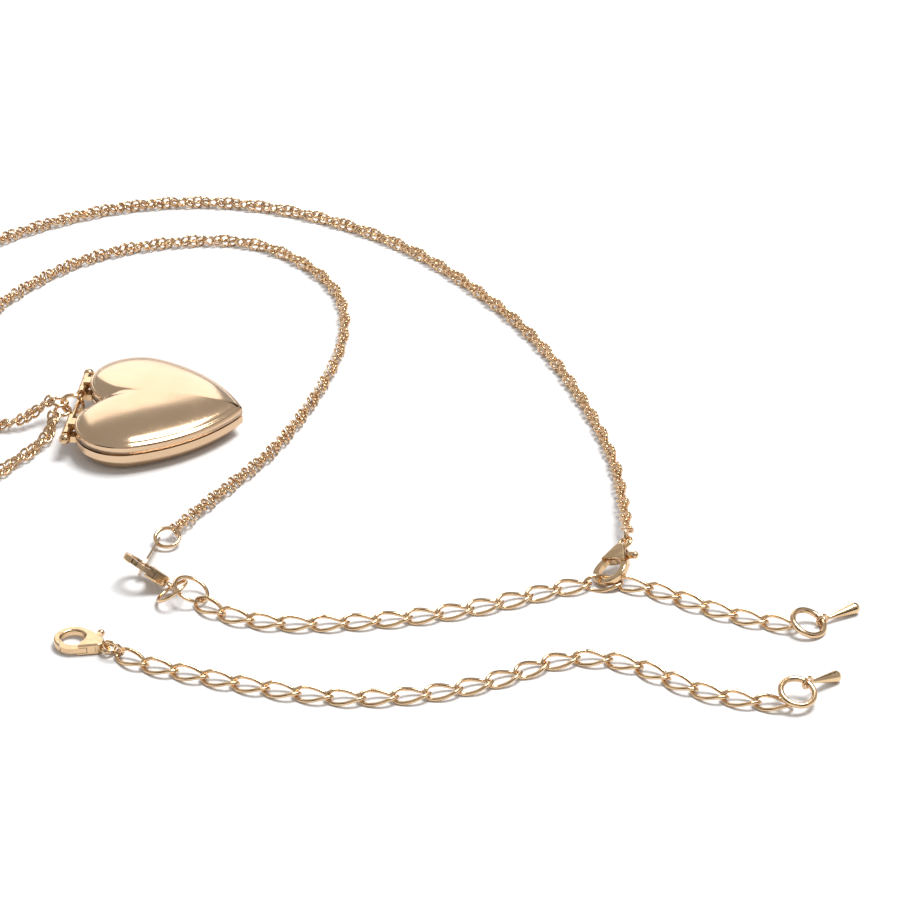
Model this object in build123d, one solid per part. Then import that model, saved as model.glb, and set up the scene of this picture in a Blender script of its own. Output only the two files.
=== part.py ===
from build123d import *
from math import cos, pi, radians, sin, sqrt, tan
import os

# Heart locket on a long rope chain, with one extender clasped into the necklace
# and a second one lying loose. Millimetres, +Z up, everything lies on Z = 0.
# The origin is the middle of the locket's flat back. +X runs from the hinge to the
# heart's point, and Y runs across the two lobes.

os.makedirs("parts", exist_ok=True)

# ---- locket: outline ----
tip_x = 14.6
lobe_x = -4.6
lobe_y = 7.1
lobe_r = 8.2
side_contact = 70.0         # where the long side leaves the lobe, degrees from +X
notch_round = 0.9

# ---- locket: section ----
locket_thick = 7.6
parting_gap = 0.3           # between the two rims when shut
rim_height = 1.5
rim_proud = 0.4             # rim stands out from the dome
shell_wall = 0.55
dome_round = 2.9            # rounding from the side of the dome to its top

# ---- locket: hinge ----
pin_r = 0.4
knuckle_r = 0.85
knuckle_len = 1.85
knuckle_gap = 0.12
knuckle_start = 4.1         # first knuckle's distance from the middle
rim_clear = 0.25            # from knuckle to rim
running_fit = 0.05
lug_height = 1.1
lug_embed = 0.35
pin_head_r = 0.95
cover_open = 120.0

# ---- locket: inside ----
seat_height = 1.3
seat_rise = 0.6             # how far the seat ring stands above the parting line
seat_wall = 0.45
seat_fit = 0.1
frame_wide = 1.6
frame_thick = 0.5
window_thick = 0.25
window_clear = 0.05
tab_wide = 2.6
tab_thick = 0.4
tab_rise = 0.9

# ---- rings at the hinge ----
bail_wire = 0.7
bail_outer = 4.3
end_ring_wire = 0.6
end_ring_outer = 3.2

# ---- rope chain ----
rope_d = 2.2

# ---- curb links of the extenders ----
link_pitch = 5.0
link_wire = 0.62
link_wide = 2.95            # across the wire's middle
link_slack = 0.12
link_twist = 45.0
link_roll = 8.0
worn_links = 20
spare_links = 22

# ---- end rings and drops ----
end_link_wire = 0.95
worn_end_tilt = 12.0
spare_end_tilt = 40.0
end_link_outer = 6.2
drop_len = 6.4
drop_r = 0.95
drop_neck_r = 0.3
drop_loop_wire = 0.5
drop_loop_outer = 2.3

# ---- clasp ----
clasp_head_r = 3.1
clasp_len = 8.3
clasp_tail_r = 1.15
clasp_thick = 1.9
clasp_hook_thick = 1.2
clasp_eye_r = 1.95
clasp_lever_thick = 0.85
clasp_slot_fit = 0.08
clasp_pin_r = 0.3
clasp_loop_wire = 0.62
clasp_loop_outer = 2.7
lever_open = 24.0
gate_reach = 4.35           # from the pivot to the lever's end
gate_gap = 0.12

# ---- jump rings ----
spare_ring_outer = 3.7
spare_ring_wire = 0.6
worn_clasp_ring_outer = 6.0
worn_first_ring_outer = 6.2
worn_ring_wire = 0.6
tag_ring_outer = 4.6
tag_ring_wire = 0.65
tag_thick = 0.35
tag_wide = 3.3
tag_narrow = 2.2
tag_big_hole = 2.3
tag_small_hole = 1.25
rope_ring_outer = 3.4

# ---- what follows from the sizes ----
parting_z = locket_thick / 2
half_gap = parting_gap / 2
hinge_x = lobe_x - lobe_r - rim_clear - knuckle_r
hinge_z = parting_z
group_end = knuckle_start + 3 * knuckle_len + 2 * knuckle_gap


def side_radius(inset):
    """Radius of the long side's arc, which touches the lobe and meets the tip."""
    reach = Vector(tip_x - lobe_x, -lobe_y)
    contact = Vector(cos(radians(side_contact)), sin(radians(side_contact)))
    along = reach.X * contact.X + reach.Y * contact.Y
    across = reach.X ** 2 + reach.Y ** 2
    return (across - 2 * lobe_r * along + lobe_r ** 2) / (2 * (lobe_r - along)) - inset


def heart(inset):
    """The heart's face, drawn in by the given amount from the rim's outline."""
    contact = Vector(cos(radians(side_contact)), sin(radians(side_contact)))
    radius = lobe_r - inset
    long_r = side_radius(inset)
    centre = Vector(lobe_x, lobe_y) - contact * (side_radius(0) - lobe_r)
    point = centre.X + sqrt(long_r ** 2 - centre.Y ** 2)
    notch_r = notch_round + inset
    reach = radius + notch_r
    notch_x = lobe_x - sqrt(reach ** 2 - lobe_y ** 2)
    touch = Vector(lobe_x, lobe_y) + Vector(notch_x - lobe_x, -lobe_y) * (radius / reach)
    touch_lobe = Vector(lobe_x, lobe_y) + contact * radius
    lobe_left = Vector(lobe_x - radius * cos(radians(20)), lobe_y + radius * sin(radians(20)))
    mid = (Vector(point, 0) + touch_lobe) * 0.5 - centre
    side_mid = centre + mid.normalized() * long_r
    side = ThreePointArc((point, 0), side_mid, touch_lobe)
    lobe = ThreePointArc(touch_lobe, lobe_left, touch)
    notch = ThreePointArc(touch, (notch_x + notch_r, 0), mirrored(touch))
    upper = [side, lobe]
    lower = [mirror(edge, about=Plane.XZ) for edge in upper]
    return make_face(upper + [notch] + lower)


def mirrored(point):
    return Vector(point.X, -point.Y)


def tilted_ring(outer, wire, centre, normal):
    """Round wire ring whose hole faces along the normal."""
    return Plane(origin=centre, z_dir=normal).location * Torus((outer - wire) / 2, wire / 2)


def write(node, shape):
    export_step(shape, "parts/" + node + ".step")


# ---- locket shells: built as the upper half, the back is its mirror ----
def half_shell():
    rise = locket_thick / 2 - half_gap
    rim = extrude(heart(0), rim_height)
    rim = fillet(rim.edges().filter_by(GeomType.LINE, reverse=True).group_by(Axis.Z)[-1], 0.3)
    body = extrude(heart(rim_proud), rise)
    body = fillet(body.edges().group_by(Axis.Z)[-1], dome_round)
    hollow = extrude(heart(rim_proud + shell_wall), rise - shell_wall)
    hollow = fillet(hollow.edges().group_by(Axis.Z)[-1], dome_round - shell_wall)
    return rim + body - hollow


def cover_half(shape):
    return Pos(0, 0, parting_z + half_gap) * shape


def back_half(shape):
    return Pos(0, 0, parting_z - half_gap) * mirror(shape, about=Plane.XY)


shell = half_shell()
front_shell = cover_half(shell)
back_shell = back_half(shell)


def knuckle(side, index, is_cover):
    """One knuckle of the hinge, with the lug that carries it to its rim."""
    low = knuckle_start + index * (knuckle_len + knuckle_gap)
    mid_y = side * (low + knuckle_len / 2)
    turn = Rot(90, 0, 0)
    tube = turn * Cylinder(knuckle_r, knuckle_len)
    bore = turn * Cylinder(pin_r + running_fit, knuckle_len + 1)
    offset_y = abs(mid_y) - lobe_y
    rim_x = lobe_x - sqrt(lobe_r ** 2 - offset_y ** 2)
    lug_len = rim_x + lug_embed - hinge_x
    lug = Pos(lug_len / 2, 0, half_gap + lug_height / 2) * Box(lug_len, knuckle_len, lug_height)
    piece = tube + lug - bore
    if not is_cover:
        piece = mirror(piece, about=Plane.XY)
    return Pos(hinge_x, mid_y, hinge_z) * piece


back_knuckles = [knuckle(side, index, False) for side in (-1, 1) for index in (0, 2)]
front_knuckles = [knuckle(side, 1, True) for side in (-1, 1)]


def hinge_pin():
    reach = group_end + knuckle_gap
    pin = Rot(90, 0, 0) * Cylinder(pin_r, 2 * reach + pin_head_r)
    for side in (-1, 1):
        head = Pos(0, side * (reach + pin_head_r), 0) * Sphere(pin_head_r)
        pin = pin + head
    return Pos(hinge_x, 0, hinge_z) * pin


# ---- inside the locket ----
inner_inset = rim_proud + shell_wall
seat_inset = inner_inset + seat_fit
seat_face = heart(seat_inset) - heart(seat_inset + seat_wall)
tab_x = tip_x - 3.2


def seat_ring():
    """Ring in the back half that the cover drops over, open where the hinge turns."""
    ring = extrude(seat_face, seat_height + seat_rise)
    ring = Pos(0, 0, parting_z - seat_height) * ring
    trim = Pos(hinge_x + 3.4, 0, parting_z + 5) * Box(6.8, 40, 10)
    return ring - trim


def tab_room():
    """Cut-out that leaves the snap tab free."""
    wide = tab_wide + 4 * seat_fit
    return Pos(tab_x + 5 - tab_thick, 0) * Rectangle(10, wide)


def photo_frame(is_cover):
    outer = heart(seat_inset + seat_wall + seat_fit)
    inner = heart(seat_inset + seat_wall + seat_fit + frame_wide)
    ring = extrude(outer - inner - tab_room(), frame_thick)
    drop = parting_z - half_gap - frame_thick - 0.1
    if is_cover:
        drop = parting_z + seat_rise + 0.15
    return Pos(0, 0, drop) * ring


def photo_window(is_cover):
    face = heart(seat_inset + seat_wall + 2 * seat_fit) - tab_room()
    frame_low = parting_z - half_gap - frame_thick - 0.1
    low = frame_low - window_clear - window_thick
    if is_cover:
        low = parting_z + seat_rise + 0.15 + frame_thick + window_clear
    return Pos(0, 0, low) * extrude(face, window_thick)


def snap_tab():
    """Small tongue inside the point that the cover clicks over."""
    tall = seat_height + tab_rise
    blade = Box(tab_thick, tab_wide, tall)
    bead = Rot(90, 0, 0) * Cylinder(tab_thick * 0.6, tab_wide)
    blade = blade + Pos(0, 0, tall / 2 - tab_thick) * bead
    return Pos(tab_x, 0, parting_z - seat_height + tall / 2) * blade


# ---- rings round the pin ----
bail_x = hinge_x - (bail_outer / 2 - bail_wire) + pin_r + running_fit
bail_y = 1.0
bail_z = hinge_z - 0.3
bail_ring = tilted_ring(bail_outer, bail_wire, (bail_x, bail_y, bail_z), (0, 1, 0))
bail_left = bail_x - (bail_outer - bail_wire) / 2
upper_ring_at = Vector(bail_left - 0.45, bail_y + 0.3, hinge_z - 0.15)
lower_ring_at = Vector(bail_left + 0.1, bail_y - 0.5, hinge_z - 1.35)
outer_end_ring = tilted_ring(end_ring_outer, end_ring_wire, upper_ring_at, (0.17, 0.02, 0.98))
inner_end_ring = tilted_ring(end_ring_outer, end_ring_wire, lower_ring_at, (0.0, -0.19, 0.98))

# ---- rope chain: two lengths, each a hand-laid route on the table ----
outer_route = [
    (-18.9, 0.9, 3.9), (-21.6, -1.6, 2.5), (-25.2, -3.3, 1.3), (-30.6, -3.4, 1.15),
    (-38.0, -1.2, 1.15), (-46.5, 4.0, 1.15), (-53.5, 12.5, 1.15), (-57.0, 24.0, 1.15),
    (-56.5, 37.0, 1.15), (-51.5, 49.5, 1.15), (-42.8, 61.0, 1.15), (-32.5, 71.0, 1.15),
    (-18.5, 79.6, 1.15), (-1.0, 82.8, 1.15), (17.5, 78.4, 1.15), (34.5, 68.6, 1.15),
    (49.0, 53.6, 1.15), (62.5, 35.2, 1.15), (73.0, 12.0, 1.15), (78.3, -4.5, 1.15),
    (80.0, -14.8, 1.6), (81.0, -22.6, 2.9), (81.78, -30.13, 4.23),
]
inner_route = [
    (-17.75, -1.2, 2.32), (-17.4, -4.9, 1.5), (-19.2, -10.2, 1.15), (-23.6, -17.9, 1.15),
    (-27.6, -27.5, 1.15), (-33.5, -36.8, 1.15), (-42.5, -41.5, 1.15), (-51.0, -37.5, 1.15),
    (-52.0, -27.5, 1.2), (-46.5, -17.5, 1.8), (-42.6, -7.5, 3.9), (-40.6, 2.6, 4.6),
    (-39.8, 10.5, 3.9), (-39.6, 21.0, 1.6), (-37.6, 33.0, 1.15), (-32.6, 45.2, 1.15),
    (-23.2, 58.2, 1.15), (-9.0, 65.6, 1.15), (5.5, 67.6, 1.15), (17.0, 60.2, 1.15),
    (25.4, 48.6, 1.15), (28.0, 33.0, 1.15), (26.2, 15.0, 1.15), (21.4, -5.6, 1.15),
    (15.6, -17.8, 1.15), (11.4, -26.4, 1.2), (8.49, -33.99, 1.74),
]


def run_radii(points):
    """Corner radii of a laid route: 0.45 of the shorter run over tan(half the turn)."""
    spots = [Vector(*point) for point in points]
    radii = []
    for before, at, after in zip(spots, spots[1:], spots[2:]):
        run_in = at - before
        run_out = after - at
        half_turn = radians(run_in.get_angle(run_out)) / 2
        radii.append(0.45 * min(run_in.length, run_out.length) / tan(half_turn))
    return radii


def laid_tube(points, diameter):
    radii = run_radii(points)
    path = FilletPolyline(*points, radius=radii)
    section = Plane(origin=path @ 0, z_dir=path % 0) * Circle(diameter / 2)
    tube = sweep(section, path=path)
    length = path.length
    share = tube.volume / (pi * diameter ** 2 / 4 * length)
    print("laid tube: length", round(length, 1), "volume share", round(share, 4),
          "smallest radius", round(min(radii), 1))
    print("  radii", [round(radius, 1) for radius in radii])
    return tube


# ---- curb links ----
def loop_halves(points, radius_share):
    """The two halves of a closed loop of short runs joined by tangent arcs."""
    count = len(points)
    spots = [Vector(*point) for point in points]
    middles = [(spots[i] + spots[(i + 1) % count]) * 0.5 for i in range(count)]
    pieces = []
    for i in range(count):
        start = middles[i - 1]
        corner = spots[i]
        end = middles[i]
        into = corner - start
        out = end - corner
        cut = radius_share * min(into.length, out.length)
        first = corner - into.normalized() * cut
        last = corner + out.normalized() * cut
        half_turn = radians(into.get_angle(out)) / 2
        bulge = corner + (out.normalized() - into.normalized()).normalized() * (
            cut / tan(half_turn) * (1 / cos(half_turn) - 1))
        pieces.append(Line(start, first))
        pieces.append(ThreePointArc(first, bulge, last))
        pieces.append(Line(last, end))
    half = len(pieces) // 2
    return Wire(pieces[:half]), Wire(pieces[half:])


def curb_link():
    """A twisted oval: its two ends lie a quarter turn apart, so the next link fits through."""
    long_half = (link_pitch + link_wire + link_slack) / 2
    wide_half = link_wide / 2
    steps = 10
    points = []
    for step in range(steps):
        turn = 2 * pi * (step + 0.5) / steps
        roll = radians(link_roll - link_twist * cos(turn))
        across = wide_half * sin(turn)
        points.append((long_half * cos(turn), across * cos(roll), across * sin(roll)))
    stretch = long_half / max(abs(point[0]) for point in points) * 1.02
    points = [(x * stretch, y, z) for x, y, z in points]
    halves = []
    for path in loop_halves(points, 0.9):
        section = Plane(origin=path @ 0, z_dir=path % 0) * Circle(link_wire / 2)
        halves.append(sweep(section, path=path))
    return (halves[0] + halves[1]).solid()


def link_height():
    box = curb_link().bounding_box()
    return -box.min.Z


def chain_places(route, first, count):
    """Places of links at equal steps along a smooth route on the table."""
    line = Spline(*route)
    places = []
    for index in range(count):
        at = (first + (index + 0.5) * link_pitch) / line.length
        spot = line.position_at(at, position_mode=PositionMode.PARAMETER)
        ahead = line.tangent_at(at, position_mode=PositionMode.PARAMETER)
        places.append(Plane(origin=spot, x_dir=ahead, z_dir=(0, 0, 1)))
    return line, places


link_z = link_height() + 0.02
worn_route = [
    (15.7, -53.0, link_z), (20.6, -56.1, link_z), (30.0, -57.7, link_z), (41.0, -56.2, link_z),
    (54.6, -52.2, link_z), (66.0, -46.8, link_z), (77.2, -41.5, link_z), (82.2, -41.0, link_z),
    (91.5, -44.3, link_z), (100.5, -48.2, link_z), (110.0, -50.3, link_z), (116.0, -51.4, link_z),
]
spare_route = [
    (5.9, -68.6, link_z), (9.6, -70.8, link_z), (14.6, -72.3, link_z), (27.0, -75.1, link_z),
    (42.0, -76.8, link_z), (54.3, -74.5, link_z), (66.0, -68.7, link_z), (75.5, -62.9, link_z),
    (83.5, -63.1, link_z), (94.3, -68.7, link_z), (103.7, -71.3, link_z), (116.0, -70.3, link_z),
]
worn_line, worn_places = chain_places(worn_route, 0.0, worn_links)
spare_line, spare_places = chain_places(spare_route, 0.0, spare_links)
link = curb_link()


def links(places, hooked=None):
    """The chain's links. The hooked one is rolled up by the clasp that holds it."""
    shapes = []
    for index, place in enumerate(places):
        roll = hooked_roll if index == hooked else 0
        shapes.append(place.location * Rot(roll, 0, 0) * link)
    return Compound(shapes)


# ---- end ring and drop of an extender ----
def chain_end(line, length):
    """Where the last link's far end stands, and the way it points."""
    at = length / line.length
    spot = line.position_at(at, position_mode=PositionMode.PARAMETER)
    ahead = line.tangent_at(at, position_mode=PositionMode.PARAMETER)
    return spot, ahead


def end_link_place(spot, ahead, tilt, shift, lean):
    """Frame of the thick ring past the last link: its tilt, then how it settled in the link."""
    middle = (end_link_outer - end_link_wire) / 2
    low = middle * sin(radians(tilt)) + end_link_wire / 2 + 0.02
    share = (link_z - low) / (middle * sin(radians(tilt)))
    back = (end_link_wire - link_slack) / 2 + link_slack
    sideways = ahead.cross(Vector(0, 0, 1)) * -1
    grip = Vector(spot.X, spot.Y, link_z) - ahead * back
    along = ahead * (middle * sqrt(1 - share ** 2))
    across = sideways * (middle * share * cos(radians(tilt)))
    centre = grip + along - across
    flat = Plane(origin=(centre.X, centre.Y, low), x_dir=ahead, z_dir=(0, 0, 1))
    return flat.location * Pos(*shift) * Rot(*lean) * Rot(tilt, 0, 0)


def end_link(place):
    return place * Torus((end_link_outer - end_link_wire) / 2, end_link_wire / 2)


def drop(place, around, swing):
    """Teardrop on a small loop that hangs on the end ring, its fat end on the table."""
    middle = (end_link_outer - end_link_wire) / 2
    loop_r = (drop_loop_outer - drop_loop_wire) / 2
    turn = radians(around)
    grip = (place * Pos(middle * cos(turn), middle * sin(turn), 0)).position
    hold = loop_r - end_link_wire / 2 - drop_loop_wire / 2 - 0.08
    belly = drop_len - drop_r
    fall = (drop_r + 0.02 - grip.Z) / (hold + loop_r + belly)
    level = sqrt(1 - fall ** 2)
    way = Vector(level * cos(radians(swing)), level * sin(radians(swing)), fall)
    side = way.cross(Vector(0, 0, 1)).normalized()
    loop_at = grip + way * hold
    loop = Plane(origin=loop_at, x_dir=way, z_dir=side).location * Torus(loop_r, drop_loop_wire / 2)
    neck = [(0, -0.1), (drop_neck_r, -0.1), (drop_neck_r, 0.5), (drop_r, belly)]
    cap = ThreePointArc((drop_r, belly), (drop_r * sin(pi / 4), belly + drop_r * cos(pi / 4)),
                        (0, belly + drop_r))
    outline = make_face(Polyline(*neck) + cap + Line((0, belly + drop_r), (0, -0.1)))
    stem = Plane(origin=loop_at + way * loop_r, x_dir=side, z_dir=side.cross(way))
    pear = revolve(outline, axis=Axis.Y)
    return stem.location * pear + loop


# ---- lobster clasp, drawn flat: X from the hook's head to the tail, Y to the lever's side ----
pivot = (5.7, 0.25)


def clasp_shape():
    head = Pos(clasp_head_r, 0) * Circle(clasp_head_r)
    tail = Pos(clasp_len - clasp_tail_r, 0) * Circle(clasp_tail_r)
    return make_hull(head.edges() + tail.edges())


def clasp_eye():
    return Pos(clasp_head_r - 0.05, 0) * Circle(clasp_eye_r)


def lever_shape():
    """Arm along the open side of the hook, hub on the pin, and the thumb knob's arm."""
    arm_band = clasp_shape() - clasp_eye() - offset(clasp_shape(), -1.15)
    reach = Pos(*pivot) * Circle(gate_reach)
    gate = arm_band & reach & (Pos(3.6, 2.5) * Rectangle(5.2, 4.4))
    hub = Pos(*pivot) * Circle(0.85)
    bridge = Pos(pivot[0] - 0.2, 1.2) * Rectangle(1.3, 1.7)
    knob_arm = Pos(pivot[0] + 0.5, -1.4) * Rectangle(0.75, 3.0)
    return (gate + hub + bridge + knob_arm) & (clasp_shape() + knob_arm)


def turned(shape, angle):
    return Pos(*pivot) * Rot(0, 0, angle) * Pos(-pivot[0], -pivot[1]) * shape


def flat_edges(shape):
    return shape.edges().filter_by(lambda edge: edge.bounding_box().size.Z < 0.01)


def clasp_pieces():
    outline = clasp_shape() - clasp_eye()
    hook = extrude(outline, clasp_hook_thick / 2, both=True)
    hook = fillet(flat_edges(hook), 0.3)
    cheek_area = outline & (Pos(clasp_len / 2 + 4.6, 0) * Rectangle(clasp_len, 10))
    cheeks = extrude(cheek_area, clasp_thick / 2, both=True)
    cheeks = fillet(flat_edges(cheeks), 0.3)
    whole = hook + cheeks
    gate_open = Pos(*pivot) * Circle(gate_reach + gate_gap)
    gate_open = gate_open & (Pos(2.9, 2.5) * Rectangle(4.2, 4.4))
    whole = whole - extrude(gate_open, clasp_thick, both=True)
    slot = None
    for angle in (0, lever_open / 3, 2 * lever_open / 3, lever_open):
        swept = offset(turned(lever_shape(), angle), clasp_slot_fit)
        slot = swept if slot is None else slot + swept
    slot_half = clasp_lever_thick / 2 + clasp_slot_fit
    whole = whole - extrude(slot, slot_half, both=True)
    whole = whole - Pos(*pivot) * Cylinder(clasp_pin_r, 2 * clasp_thick)
    loop_at = clasp_len + clasp_loop_outer / 2 - clasp_loop_wire
    loop = Pos(loop_at, 0, 0) * Torus((clasp_loop_outer - clasp_loop_wire) / 2, clasp_loop_wire / 2)
    spring_at = Pos(pivot[0] + 1.2, 0.95, 0)
    pocket = spring_at * Box(1.0, 0.5, clasp_lever_thick + 0.1)
    body = whole + loop - pocket
    lever = extrude(lever_shape(), clasp_lever_thick / 2, both=True)
    knob = Pos(pivot[0] + 0.5, -clasp_head_r - 0.25, 0) * Sphere(0.62)
    lever = lever + knob - Pos(*pivot) * Cylinder(clasp_pin_r + running_fit, clasp_thick)
    pin = Pos(*pivot) * Cylinder(clasp_pin_r, clasp_thick)
    spring = spring_at * Box(0.9, 0.14, clasp_lever_thick)
    return {"body": body, "lever": lever, "lever_pin": pin, "lever_spring": spring}


def clasp_frame(origin, to_tail, to_gate):
    along = Vector(*to_tail).normalized()
    return Plane(origin=origin, x_dir=along, z_dir=along.cross(Vector(*to_gate))).location


clasp = clasp_pieces()
clasp_frames = {
    "worn": clasp_frame((2.83, -46.67, 4.78), (0.862, -0.331, -0.381), (-0.050, -0.808, 0.587)),
    "rope": clasp_frame((78.87, -41.49, 0.8), (0.319, 0.880, 0.352), (-0.810, 0.446, -0.380)),
    "spare": clasp_frame((-4.9, -65.2, 1.0), (0.965, -0.26, 0), (-0.26, -0.965, 0)),
}
for name, at in clasp_frames.items():
    for piece, shape in clasp.items():
        write(name + "_clasp_" + piece, at * shape)


# ---- the tag that carries the worn clasp ----
def chain_tag(big_end, small_end, hook_way):
    """Flat tapered plate, its big hole on the clasp's hook, its small one on the tag ring."""
    span = Vector(*small_end) - Vector(*big_end)
    along = span.normalized()
    normal = (Vector(*hook_way) - along * Vector(*hook_way).dot(along)).normalized()
    big = Circle(tag_wide / 2)
    small = Pos(span.length, 0) * Circle(tag_narrow / 2)
    plate = make_hull(big.edges() + small.edges()) - Circle(tag_big_hole / 2)
    plate = plate - Pos(span.length, 0) * Circle(tag_small_hole / 2)
    place = Plane(origin=big_end, x_dir=along, z_dir=normal).location
    return place * extrude(plate, tag_thick / 2, both=True)


hook_grip = (clasp_frames["worn"] * Pos(3.0, -2.55, 0)).position
tag_ring = tilted_ring(tag_ring_outer, tag_ring_wire, (7.7, -35.9, 1.5), (0.032, -0.307, 0.951))
write("chain_tag_ring", tag_ring)
write("chain_tag", chain_tag(hook_grip, (6.2, -37.2, 1.15), (0.862, -0.331, -0.381)))

# ---- rings of the worn and the spare clasp ----
worn_clasp_ring = tilted_ring(worn_clasp_ring_outer, worn_ring_wire,
                              (11.32, -52.39, 2.12), (-0.56, 0.17, 0.81))
worn_first_ring = tilted_ring(worn_first_ring_outer, worn_ring_wire,
                              (14.19, -51.35, 1.96), (0.42, -0.04, 0.91))
spare_clasp_ring = tilted_ring(spare_ring_outer, spare_ring_wire,
                               (4.95, -68.5, 1.72), (0.35, 0.84, 0.41))
write("worn_clasp_ring", worn_clasp_ring)
write("worn_first_ring", worn_first_ring)
write("spare_clasp_ring", spare_clasp_ring)

# ---- extenders ----
hooked_link = 13
hooked_roll = 17.0
write("worn_extender_links", links(worn_places, hooked_link))
write("spare_extender_links", links(spare_places))
worn_end = end_link_place(*chain_end(worn_line, worn_links * link_pitch), worn_end_tilt,
                          (-0.22, 0.1, 0.47), (-6.4, 20.7, 7.1))
spare_end = end_link_place(*chain_end(spare_line, spare_links * link_pitch), spare_end_tilt,
                           (-0.15, -0.32, 0.19), (-24.1, 0.1, 15.8))
write("worn_end_ring", end_link(worn_end))
write("spare_end_ring", end_link(spare_end))
write("worn_drop", drop(worn_end, 42, 39))
write("spare_drop", drop(spare_end, 42, 47))

# ---- rope ----
tail_reach = clasp_len + clasp_loop_outer / 2 - clasp_loop_wire
rope_tail = (clasp_frames["rope"] * Pos(tail_reach, 0, 0)).position
write("outer_rope_chain", laid_tube(outer_route, rope_d))
write("inner_rope_chain", laid_tube(inner_route, rope_d))
write("outer_rope_end_ring", outer_end_ring)
write("inner_rope_end_ring", inner_end_ring)
rope_ring_at = rope_tail + Vector(0.05, 1.7, 0.1)
write("rope_clasp_ring", tilted_ring(rope_ring_outer, end_ring_wire, rope_ring_at, (1, 0, 0.1)))

# ---- locket ----
write("locket_back_shell", back_shell)
write("locket_front_shell", front_shell)
write("back_hinge_knuckles", Compound(back_knuckles))
write("front_hinge_knuckles", Compound(front_knuckles))
write("locket_hinge_pin", hinge_pin())
write("locket_bail_ring", bail_ring)
write("locket_seat_ring", seat_ring())
write("locket_snap_tab", snap_tab())
for name, is_cover in (("back", False), ("front", True)):
    write(name + "_photo_frame", photo_frame(is_cover))
    write(name + "_photo_window", photo_window(is_cover))
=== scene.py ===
import bmesh
import bpy
import math
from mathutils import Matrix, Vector


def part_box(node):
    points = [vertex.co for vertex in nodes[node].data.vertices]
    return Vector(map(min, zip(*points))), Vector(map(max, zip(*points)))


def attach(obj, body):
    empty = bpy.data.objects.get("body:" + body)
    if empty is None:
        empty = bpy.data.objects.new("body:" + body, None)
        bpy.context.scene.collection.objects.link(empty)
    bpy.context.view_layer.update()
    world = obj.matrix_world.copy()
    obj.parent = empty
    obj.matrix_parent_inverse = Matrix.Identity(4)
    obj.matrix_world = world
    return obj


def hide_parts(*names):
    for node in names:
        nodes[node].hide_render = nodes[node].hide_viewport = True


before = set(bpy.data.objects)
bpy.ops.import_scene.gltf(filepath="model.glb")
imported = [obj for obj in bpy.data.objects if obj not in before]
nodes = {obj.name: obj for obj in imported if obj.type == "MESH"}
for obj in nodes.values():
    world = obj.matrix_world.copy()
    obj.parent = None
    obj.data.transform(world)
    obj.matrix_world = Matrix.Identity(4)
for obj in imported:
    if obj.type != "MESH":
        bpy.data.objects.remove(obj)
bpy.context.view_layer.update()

print("frame loaded:", len(nodes), "nodes")

# camera
camData = bpy.data.cameras.new("viewCamera")
camera = bpy.data.objects.new("viewCamera", camData)
bpy.context.scene.collection.objects.link(camera)
camData.lens = 150
camData.sensor_width = 36
camera.location = (0.1068, -0.5406, 0.3283)
camera.rotation_euler = (math.radians(58.8), 0, math.radians(6))
camData.clip_start = 0.01
bpy.context.scene.camera = camera
print("camera placed")



# a socket that takes Python's own operators
class Sock:
    def __init__(self, tree, socket):
        self.tree = tree
        self.socket = socket

    def math(self, operation, other=None, swap=False):
        values = [self, other] if not swap else [other, self]
        if other is None:
            values = [self]
        return self.tree.node("ShaderNodeMath", {"operation": operation}, values)

    def __add__(self, other): return self.math("ADD", other)
    def __radd__(self, other): return self.math("ADD", other, True)
    def __sub__(self, other): return self.math("SUBTRACT", other)
    def __rsub__(self, other): return self.math("SUBTRACT", other, True)
    def __mul__(self, other): return self.math("MULTIPLY", other)
    def __rmul__(self, other): return self.math("MULTIPLY", other, True)


class Finish:
    def __init__(self, name):
        self.material = bpy.data.materials.new(name)
        self.material.use_nodes = True
        self.nodes = self.material.node_tree.nodes
        self.links = self.material.node_tree.links
        self.shader = self.nodes["Principled BSDF"]
        self.object = Sock(self, self.nodes.new("ShaderNodeTexCoord").outputs["Object"])

    # a node by its type: settings first, then the values or links of its sockets
    def node(self, kind, settings=None, values=(), output=0):
        made = self.nodes.new(kind)
        for key, value in (settings or {}).items():
            if key == "stops":
                ramp = made.color_ramp.elements
                for place, (at, colour) in enumerate(value):
                    stop = ramp[place] if place < len(ramp) else ramp.new(at)
                    stop.position = at
                    stop.color = colour
            else:
                setattr(made, key, value)
        pairs = values.items() if isinstance(values, dict) else enumerate(values)
        for key, value in pairs:
            self.feed(made.inputs[key], value)
        return Sock(self, made.outputs[output])

    def feed(self, socket, value):
        if isinstance(value, Sock):
            self.links.new(value.socket, socket)
        else:
            socket.default_value = value

    def set(self, **values):
        for key, value in values.items():
            self.feed(self.shader.inputs[key.replace("_", " ")], value)
        return self

    def noise(self, scale, detail=3.0, stretch=None):
        vector = self.object
        if stretch:
            vector = self.node("ShaderNodeMapping", {}, {"Vector": vector, "Scale": stretch})
        return self.node("ShaderNodeTexNoise", {},
                         {"Vector": vector, "Scale": scale, "Detail": detail})

    def span(self, value, low, high, newLow, newHigh):
        return self.node("ShaderNodeMapRange", {},
                         {"Value": value, "From Min": low, "From Max": high,
                          "To Min": newLow, "To Max": newHigh})

    def mix(self, factor, first, second):
        return self.node("ShaderNodeMix", {"data_type": "RGBA"}, {0: factor, 6: first, 7: second}, 2)

    def bump(self, height, strength, distance):
        return self.node("ShaderNodeBump", {},
                         {"Height": height, "Strength": strength, "Distance": distance})


def colour(red, green, blue):
    return (red, green, blue, 1.0)


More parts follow.
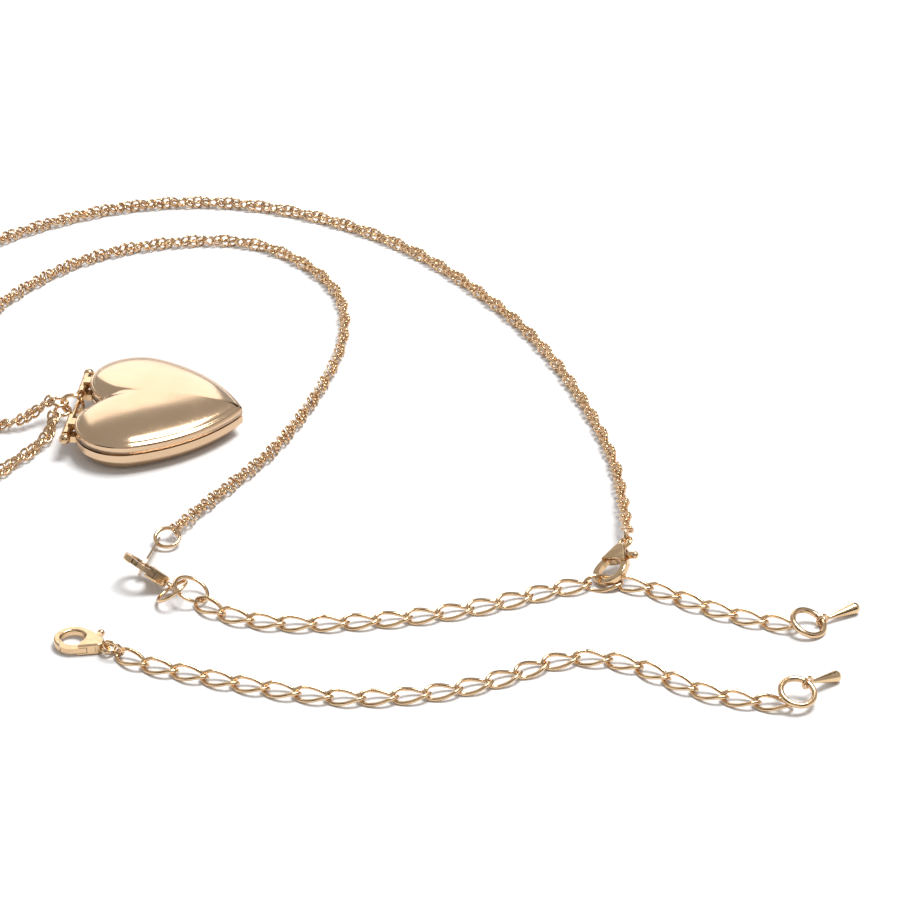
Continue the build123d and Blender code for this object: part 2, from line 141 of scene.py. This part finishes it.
# plated metal: two close shades, wear in its gloss, fine scratches and a faint hand-polish ripple
def platedGold(name, look):
    made = Finish(name)
    cloud = made.noise(look["cloudScale"], 4)
    scratch = made.noise(look["scratchScale"], 5, stretch=(1.0, 0.06, 1.0))
    crossed = made.noise(look["scratchScale"] * 0.8, 5, stretch=(0.08, 1.0, 0.7))
    marks = made.span(scratch * 0.5 + crossed * 0.5, 0.52, 0.66, 0.0, 1.0)
    shade = made.mix(made.span(cloud, 0.35, 0.65, 0.0, 1.0), look["colour"], look["second"])
    worn = made.span(cloud, 0.3, 0.7, look["rough"] * 0.8, look["rough"] * 1.25)
    gloss = worn + marks * look["scratchRough"]
    height = marks * -1.0 + made.noise(look["rippleScale"], 2) * look["ripple"]
    made.set(Base_Color=shade, Metallic=1.0, Roughness=gloss,
             Normal=made.bump(height, look["bump"], 0.00004))
    return made.material


domeGold = platedGold("roseGoldPolish", {
    "colour": colour(0.70, 0.50, 0.325), "second": colour(0.665, 0.465, 0.295), "rough": 0.15,
    "cloudScale": 120.0, "scratchScale": 2400.0, "scratchRough": 0.05, "rippleScale": 60.0,
    "ripple": 0.5, "bump": 0.03})
wireGold = platedGold("roseGoldWire", {
    "colour": colour(0.78, 0.55, 0.33), "second": colour(0.72, 0.49, 0.28), "rough": 0.12,
    "cloudScale": 300.0, "scratchScale": 1500.0, "scratchRough": 0.12, "rippleScale": 500.0,
    "ripple": 0.5, "bump": 0.15})
ropeGold = platedGold("roseGoldRope", {
    "colour": colour(0.76, 0.53, 0.32), "second": colour(0.66, 0.44, 0.25), "rough": 0.17,
    "cloudScale": 250.0, "scratchScale": 1500.0, "scratchRough": 0.10, "rippleScale": 700.0,
    "ripple": 0.5, "bump": 0.15})
castGold = platedGold("roseGoldCast", {
    "colour": colour(0.76, 0.54, 0.32), "second": colour(0.69, 0.47, 0.27), "rough": 0.16,
    "cloudScale": 350.0, "scratchScale": 1200.0, "scratchRough": 0.14, "rippleScale": 450.0,
    "ripple": 1.2, "bump": 0.3})
sheetGold = platedGold("roseGoldSheet", {
    "colour": colour(0.78, 0.59, 0.41), "second": colour(0.73, 0.53, 0.36), "rough": 0.28,
    "cloudScale": 200.0, "scratchScale": 1600.0, "scratchRough": 0.2, "rippleScale": 300.0,
    "ripple": 0.6, "bump": 0.3})
springSteel = platedGold("springSteel", {
    "colour": colour(0.60, 0.60, 0.61), "second": colour(0.52, 0.52, 0.54), "rough": 0.25,
    "cloudScale": 500.0, "scratchScale": 2500.0, "scratchRough": 0.2, "rippleScale": 800.0,
    "ripple": 0.4, "bump": 0.2})


def windowFilm():
    made = Finish("clearWindow")
    smear = made.noise(180.0, 3)
    made.set(Base_Color=made.mix(smear, colour(0.95, 0.96, 0.97), colour(0.90, 0.92, 0.94)),
             Roughness=made.span(smear, 0.3, 0.7, 0.04, 0.12), Alpha=0.28, IOR=1.47)
    return made.material


film = windowFilm()
print("finishes made")

# the rope's two lengths, the same points as in the part's source
ropeRoutes = {
    "outer": [
        (-0.0189, 0.0009, 0.0039), (-0.0216, -0.0016, 0.0025), (-0.0252, -0.0033, 0.0013),
        (-0.0306, -0.0034, 0.00115), (-0.0380, -0.0012, 0.00115), (-0.0465, 0.0040, 0.00115),
        (-0.0535, 0.0125, 0.00115), (-0.0570, 0.0240, 0.00115), (-0.0565, 0.0370, 0.00115),
        (-0.0515, 0.0495, 0.00115), (-0.0428, 0.0610, 0.00115), (-0.0325, 0.0710, 0.00115),
        (-0.0185, 0.0796, 0.00115), (-0.0010, 0.0828, 0.00115), (0.0175, 0.0784, 0.00115),
        (0.0345, 0.0686, 0.00115), (0.0490, 0.0536, 0.00115), (0.0625, 0.0352, 0.00115),
        (0.0730, 0.0120, 0.00115), (0.0783, -0.0045, 0.00115), (0.0800, -0.0148, 0.0016),
        (0.0810, -0.0226, 0.0029), (0.08178, -0.03013, 0.00423)],
    "inner": [
        (-0.01775, -0.0012, 0.00232), (-0.0174, -0.0049, 0.0015), (-0.0192, -0.0102, 0.00115),
        (-0.0236, -0.0179, 0.00115), (-0.0276, -0.0275, 0.00115), (-0.0335, -0.0368, 0.00115),
        (-0.0425, -0.0415, 0.00115), (-0.0510, -0.0375, 0.00115), (-0.0520, -0.0275, 0.0012),
        (-0.0465, -0.0175, 0.0018), (-0.0426, -0.0075, 0.0039), (-0.0406, 0.0026, 0.0046),
        (-0.0398, 0.0105, 0.0039), (-0.0396, 0.0210, 0.0016), (-0.0376, 0.0330, 0.00115),
        (-0.0326, 0.0452, 0.00115), (-0.0232, 0.0582, 0.00115), (-0.0090, 0.0656, 0.00115),
        (0.0055, 0.0676, 0.00115), (0.0170, 0.0602, 0.00115), (0.0254, 0.0486, 0.00115),
        (0.0280, 0.0330, 0.00115), (0.0262, 0.0150, 0.00115), (0.0214, -0.0056, 0.00115),
        (0.0156, -0.0178, 0.00115), (0.0114, -0.0264, 0.0012), (0.00849, -0.03399, 0.00174)],
}
ropeLook = {"diameter": 0.0022, "pitch": 0.0122, "strandOffset": 0.00042, "ringRadius": 0.00060,
            "ringWire": 0.00021, "ringStep": 0.00150, "ringTilt": 1.05, "ringStretch": 1.35,
            "ringRoll": 0.25, "fineStep": 0.0004, "ringSides": 12, "wireSides": 6}


def routeCurve(name, points):
    data = bpy.data.curves.new(name, "CURVE")
    data.dimensions = "3D"
    spline = data.splines.new("NURBS")
    spline.points.add(len(points) - 1)
    for spot, point in zip(spline.points, points):
        spot.co = (*point, 1.0)
    spline.order_u = 3
    spline.use_endpoint_u = True
    spline.resolution_u = 12
    made = bpy.data.objects.new(name, data)
    bpy.context.scene.collection.objects.link(made)
    return made


def linePoints(curve):
    deps = bpy.context.evaluated_depsgraph_get()
    mesh = bpy.data.meshes.new_from_object(curve.evaluated_get(deps))
    spots = [tuple(v.co) for v in mesh.vertices]
    bpy.data.meshes.remove(mesh)
    return spots


class Maker:
    def __init__(self, name, inputs):
        self.tree = bpy.data.node_groups.new(name, "GeometryNodeTree")
        face = self.tree.interface
        face.new_socket("Geometry", in_out="INPUT", socket_type="NodeSocketGeometry")
        self.keys = {}
        for label, value in inputs.items():
            kind = "NodeSocketMaterial" if label == "Finish" else "NodeSocketFloat"
            socket = face.new_socket(label, in_out="INPUT", socket_type=kind)
            self.keys[label] = (socket.identifier, value)
        face.new_socket("Geometry", in_out="OUTPUT", socket_type="NodeSocketGeometry")
        self.start = self.tree.nodes.new("NodeGroupInput")
        self.end = self.tree.nodes.new("NodeGroupOutput")

    def given(self, label):
        return self.start.outputs[label]

    def node(self, kind, settings=None, values=(), output=0):
        made = self.tree.nodes.new(kind)
        for key, value in (settings or {}).items():
            setattr(made, key, value)
        pairs = values.items() if isinstance(values, dict) else enumerate(values)
        for key, value in pairs:
            if isinstance(value, bpy.types.NodeSocket):
                self.tree.links.new(value, made.inputs[key])
            else:
                made.inputs[key].default_value = value
        return made.outputs[output]

    def math(self, operation, *values):
        return self.node("ShaderNodeMath", {"operation": operation}, values)

    def vector(self, operation, *values):
        output = 1 if operation in ("LENGTH", "DOT_PRODUCT") else 0
        return self.node("ShaderNodeVectorMath", {"operation": operation}, values, output)

    # runs the tree on an object and gives back a plain mesh object
    def build(self, host, name):
        self.tree.links.new(self.result, self.end.inputs[0])
        modifier = host.modifiers.new("made", "NODES")
        modifier.node_group = self.tree
        for identifier, value in self.keys.values():
            modifier[identifier] = value
        host.update_tag()
        bpy.context.view_layer.update()
        deps = bpy.context.evaluated_depsgraph_get()
        mesh = bpy.data.meshes.new_from_object(host.evaluated_get(deps))
        host.modifiers.remove(modifier)
        made = bpy.data.objects.new(name, mesh)
        mesh.name = name
        bpy.context.scene.collection.objects.link(made)
        return made


# a rope of small rings: two strands wind round the line, each a row of leaning rings
def ropeMaker(look):
    maker = Maker("ropeOfRings", {
        "Pitch": look["pitch"], "Strand Offset": look["strandOffset"], "Ring Radius": look["ringRadius"],
        "Ring Wire": look["ringWire"], "Ring Step": look["ringStep"], "Ring Tilt": look["ringTilt"],
        "Ring Stretch": look["ringStretch"], "Finish": ropeGold})
    rows = []
    for phase in (0.0, math.pi):
        fine = maker.node("GeometryNodeResampleCurve", {"mode": "LENGTH"},
                          {"Curve": maker.start.outputs[0], "Length": look["fineStep"]})
        along = maker.node("GeometryNodeSplineParameter", output=1)
        angle = maker.math("ADD", maker.math("MULTIPLY", maker.math("DIVIDE", along, maker.given("Pitch")),
                                             2 * math.pi), phase)
        normal = maker.node("GeometryNodeInputNormal")
        tangent = maker.node("GeometryNodeInputTangent")
        side = maker.vector("CROSS_PRODUCT", tangent, normal)
        first = maker.node("ShaderNodeVectorMath", {"operation": "SCALE"},
                           {0: normal, 3: maker.math("COSINE", angle)})
        second = maker.node("ShaderNodeVectorMath", {"operation": "SCALE"},
                            {0: side, 3: maker.math("SINE", angle)})
        way = maker.vector("ADD", first, second)
        shift = maker.node("ShaderNodeVectorMath", {"operation": "SCALE"},
                           {0: way, 3: maker.given("Strand Offset")})
        strand = maker.node("GeometryNodeSetPosition", {}, {"Geometry": fine, "Offset": shift})
        rings = maker.node("GeometryNodeResampleCurve", {"mode": "LENGTH"},
                           {"Curve": strand, "Length": maker.given("Ring Step")})
        spots = maker.tree.nodes.new("GeometryNodeCurveToPoints")
        spots.mode = "EVALUATED"
        maker.tree.links.new(rings, spots.inputs["Curve"])
        circle = maker.node("GeometryNodeCurvePrimitiveCircle", {},
                            {"Resolution": look["ringSides"], "Radius": maker.given("Ring Radius")})
        wire = maker.node("GeometryNodeCurvePrimitiveCircle", {},
                          {"Resolution": look["wireSides"], "Radius": maker.given("Ring Wire")})
        ring = maker.node("GeometryNodeCurveToMesh", {}, {"Curve": circle, "Profile Curve": wire})
        placed = maker.node("GeometryNodeInstanceOnPoints", {},
                            {"Points": spots.outputs["Points"], "Instance": ring,
                             "Rotation": spots.outputs["Rotation"]})
        index = maker.node("GeometryNodeInputIndex")
        odd = maker.math("SUBTRACT", maker.math("MULTIPLY", maker.math("MODULO", index, 2.0), 2.0), 1.0)
        roll = maker.math("MULTIPLY", odd, look["ringRoll"])  # every other ring rolls back
        lean = maker.node("ShaderNodeCombineXYZ", {}, {0: maker.given("Ring Tilt"), 1: 0.0, 2: roll})
        leaning = maker.node("GeometryNodeRotateInstances", {}, {"Instances": placed, "Rotation": lean})
        shape = maker.node("ShaderNodeCombineXYZ", {}, {0: 1.0, 1: maker.given("Ring Stretch"), 2: 1.0})
        sized = maker.node("GeometryNodeScaleInstances", {}, {"Instances": leaning, "Scale": shape})
        rows.append(sized)
    join = maker.tree.nodes.new("GeometryNodeJoinGeometry")
    for row in rows:
        maker.tree.links.new(row, join.inputs[0])
    real = maker.node("GeometryNodeRealizeInstances", {}, {"Geometry": join.outputs[0]})
    smooth = maker.node("GeometryNodeSetShadeSmooth", {}, {"Geometry": real})
    maker.result = maker.node("GeometryNodeSetMaterial", {}, {"Geometry": smooth,
                                                              "Material": maker.given("Finish")})
    return maker


for which, points in ropeRoutes.items():
    line = routeCurve(which + "RopeLine", points)
    path = linePoints(line)
    rope = ropeMaker(ropeLook).build(line, which + "Rope")
    bpy.data.objects.remove(line)
    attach(rope, "necklace")
    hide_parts(which + "_rope_chain")

# the cover: one closed shell with a rounded rim and a crowned dome, on the cover's own outline
coverLook = {"tipX": 0.0146, "lobeX": -0.0046, "lobeY": 0.0071, "lobeRadius": 0.0082,
             "sideContact": math.radians(70), "notchRound": 0.0009, "rimProud": 0.0004, "wall": 0.00055,
             "rimHeight": 0.0015, "rimRound": 0.00045, "groove": 0.0002, "crown": 0.00215,
             "fullness": 0.62, "spread": 2.3, "loops": 26, "crowding": 1.6,
             "sideSteps": 40, "lobeSteps": 64, "notchSteps": 8, "centre": (-0.0012, 0.0)}


def heartOutline(look, inset):
    contact = Vector((math.cos(look["sideContact"]), math.sin(look["sideContact"])))
    lobe = Vector((look["lobeX"], look["lobeY"]))
    reach = Vector((look["tipX"], 0)) - lobe
    along = reach.dot(contact)
    big = (reach.length_squared - 2 * look["lobeRadius"] * along + look["lobeRadius"] ** 2) / (
        2 * (look["lobeRadius"] - along))
    sideCentre = lobe - contact * (big - look["lobeRadius"])
    longRadius, radius = big - inset, look["lobeRadius"] - inset
    point = Vector((sideCentre.x + math.sqrt(longRadius ** 2 - sideCentre.y ** 2), 0))
    notchRadius = look["notchRound"] + inset
    notchX = lobe.x - math.sqrt((radius + notchRadius) ** 2 - lobe.y ** 2)
    start = (point - sideCentre).angle_signed(Vector((1, 0)))
    touch = math.atan2(-lobe.y, notchX - lobe.x) + 2 * math.pi
    upper = []
    for step in range(look["sideSteps"]):
        turn = start + (look["sideContact"] - start) * step / look["sideSteps"]
        upper.append(sideCentre + Vector((math.cos(turn), math.sin(turn))) * longRadius)
    for step in range(look["lobeSteps"]):
        turn = look["sideContact"] + (touch - look["sideContact"]) * step / look["lobeSteps"]
        upper.append(lobe + Vector((math.cos(turn), math.sin(turn))) * radius)
    endTurn = math.atan2(lobe.y, lobe.x - notchX)
    for step in range(look["notchSteps"]):
        turn = endTurn * (1 - step / look["notchSteps"])
        upper.append(Vector((notchX, 0)) + Vector((math.cos(turn), math.sin(turn))) * notchRadius)
    upper.append(Vector((notchX + notchRadius, 0)))
    lower = [Vector((spot.x, -spot.y)) for spot in upper[1:-1]]
    return upper + lower[::-1]


def coverShell(look):
    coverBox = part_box("locket_front_shell")
    low, high = coverBox[0][2], coverBox[1][2]
    centre = Vector(look["centre"])
    rimTop = low + look["rimHeight"]
    crown = min(look["crown"], high - rimTop)
    base = heartOutline(look, 0.0)
    loops = [(heartOutline(look, 0.00001), low)]
    for turn in range(0, 91, 15):
        angle = math.radians(turn)
        loops.append((heartOutline(look, look["rimRound"] * (1 - math.cos(angle))),
                      rimTop - look["rimRound"] * (1 - math.sin(angle))))
    edge = heartOutline(look, look["rimProud"] + look["groove"])
    for step in range(1, look["loops"]):
        share = 1 - (step / look["loops"]) ** look["crowding"]
        rise = (1 - share ** look["spread"]) ** look["fullness"]
        loops.append(([centre + (spot - centre) * share for spot in edge], rimTop + crown * rise))
    outerCount = len(loops)
    inner = heartOutline(look, look["rimProud"] + look["wall"])
    for step in range(look["loops"] - 1, 0, -2):
        share = 1 - (step / look["loops"]) ** look["crowding"]
        rise = (1 - share ** look["spread"]) ** look["fullness"]
        loops.append(([centre + (spot - centre) * share for spot in inner],
                      rimTop - look["wall"] + crown * rise))
    loops.append((inner, low))
    verts = [(spot.x, spot.y, z) for ring, z in loops for spot in ring]
    around = len(base)
    faces = []
    for row in range(len(loops)):
        if row == outerCount - 1:
            continue
        after = (row + 1) % len(loops)
        for step in range(around):
            ahead = (step + 1) % around
            faces.append((row * around + step, row * around + ahead,
                          after * around + ahead, after * around + step))
    for row, z in ((outerCount - 1, rimTop + crown), (outerCount, rimTop + crown - look["wall"])):
        verts.append((centre.x, centre.y, z))
        for step in range(around):
            faces.append((row * around + step, row * around + (step + 1) % around, len(verts) - 1))
    mesh = bpy.data.meshes.new("coverShell")
    mesh.from_pydata(verts, [], faces)
    work = bmesh.new()
    work.from_mesh(mesh)
    bmesh.ops.recalc_face_normals(work, faces=work.faces)
    work.to_mesh(mesh)
    work.free()
    mesh.shade_smooth()
    made = bpy.data.objects.new("coverShell", mesh)
    bpy.context.scene.collection.objects.link(made)
    made.data.materials.append(domeGold)
    return made


cover = coverShell(coverLook)
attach(cover, "cover")
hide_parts("locket_front_shell")
print("cover made,", len(cover.data.polygons), "faces")

# which finish each carried-over node takes
nodeFinishes = {
    "locket_front_shell": domeGold, "locket_back_shell": domeGold,
    "front_hinge_knuckles": castGold, "back_hinge_knuckles": castGold, "locket_hinge_pin": castGold,
    "locket_seat_ring": sheetGold, "locket_snap_tab": sheetGold,
    "front_photo_frame": sheetGold, "back_photo_frame": sheetGold,
    "front_photo_window": film, "back_photo_window": film, "chain_tag": sheetGold,
}
for name, node in nodes.items():
    finish = nodeFinishes.get(name)
    if finish is None:
        finish = wireGold
        if "clasp_body" in name or "clasp_lever" in name or name.endswith("drop"):
            finish = castGold
        if name.endswith("lever_spring"):
            finish = springSteel
    node.data.materials.clear()
    node.data.materials.append(finish)
print("carried nodes finished")

# floor, and dark cards beside the camera that only the metal sees
def flatSheet(name, size, place, turn, material):
    mesh = bpy.data.meshes.new(name)
    half = size / 2
    corners = [(-half, -half, 0), (half, -half, 0), (half, half, 0), (-half, half, 0)]
    mesh.from_pydata(corners, [], [(0, 1, 2, 3)])
    made = bpy.data.objects.new(name, mesh)
    made.location = place
    made.rotation_euler = turn
    bpy.context.scene.collection.objects.link(made)
    made.data.materials.append(material)
    return made


def floorFinish():
    made = Finish("paleFloor")
    grain = made.noise(3.0, 2)
    made.set(Base_Color=made.mix(grain, colour(0.80, 0.80, 0.805), colour(0.815, 0.815, 0.82)),
             Roughness=0.75)
    return made.material


flatSheet("floor", 8.0, (0, 0, 0), (0, 0, 0), floorFinish())

cardLook = {
    "leftCard": {"size": 0.6, "place": (-0.42, -0.62, 0.30), "tilt": 90, "heading": -34},
    "rightCard": {"size": 0.5, "place": (0.62, -0.55, 0.28), "tilt": 90, "heading": 48},
    "backCard": {"size": 0.5, "place": (0.45, 0.75, 0.40), "tilt": -70, "heading": -28},
}
for name, look in cardLook.items():
    black = Finish(name + "Cloth")
    weave = black.noise(20.0)
    black.set(Base_Color=black.mix(weave, colour(0.02, 0.015, 0.012), colour(0.035, 0.025, 0.02)),
              Roughness=0.9)
    turn = (math.radians(look["tilt"]), 0, math.radians(look["heading"]))
    card = flatSheet(name, look["size"], look["place"], turn, black.material)
    card.visible_camera = False
    card.visible_shadow = False
    card.visible_diffuse = False

lampLook = {
    "key": {"power": 10.0, "size": 0.42, "place": (0.30, 0.12, 0.92), "aim": (0.03, 0.0, 0.0)},
    "back": {"power": 3.5, "size": 0.9, "place": (-0.35, 1.3, 0.55), "aim": (0.03, 0.0, 0.0)},
}
for name, look in lampLook.items():
    lamp = bpy.data.lights.new(name, "AREA")
    lamp.energy = look["power"]
    lamp.size = look["size"]
    holder = bpy.data.objects.new(name + "Lamp", lamp)
    holder.location = look["place"]
    way = Vector(look["aim"]) - Vector(look["place"])
    holder.rotation_euler = way.to_track_quat("-Z", "Y").to_euler()
    bpy.context.scene.collection.objects.link(holder)

world = bpy.data.worlds.new("studio")
bpy.context.scene.world = world
world.use_nodes = True
back = world.node_tree.nodes["Background"]
back.inputs["Color"].default_value = (1.0, 1.0, 1.0, 1.0)
back.inputs["Strength"].default_value = 0.48
print("stage and lamps set")

bpy.context.scene.view_settings.view_transform = "Standard"
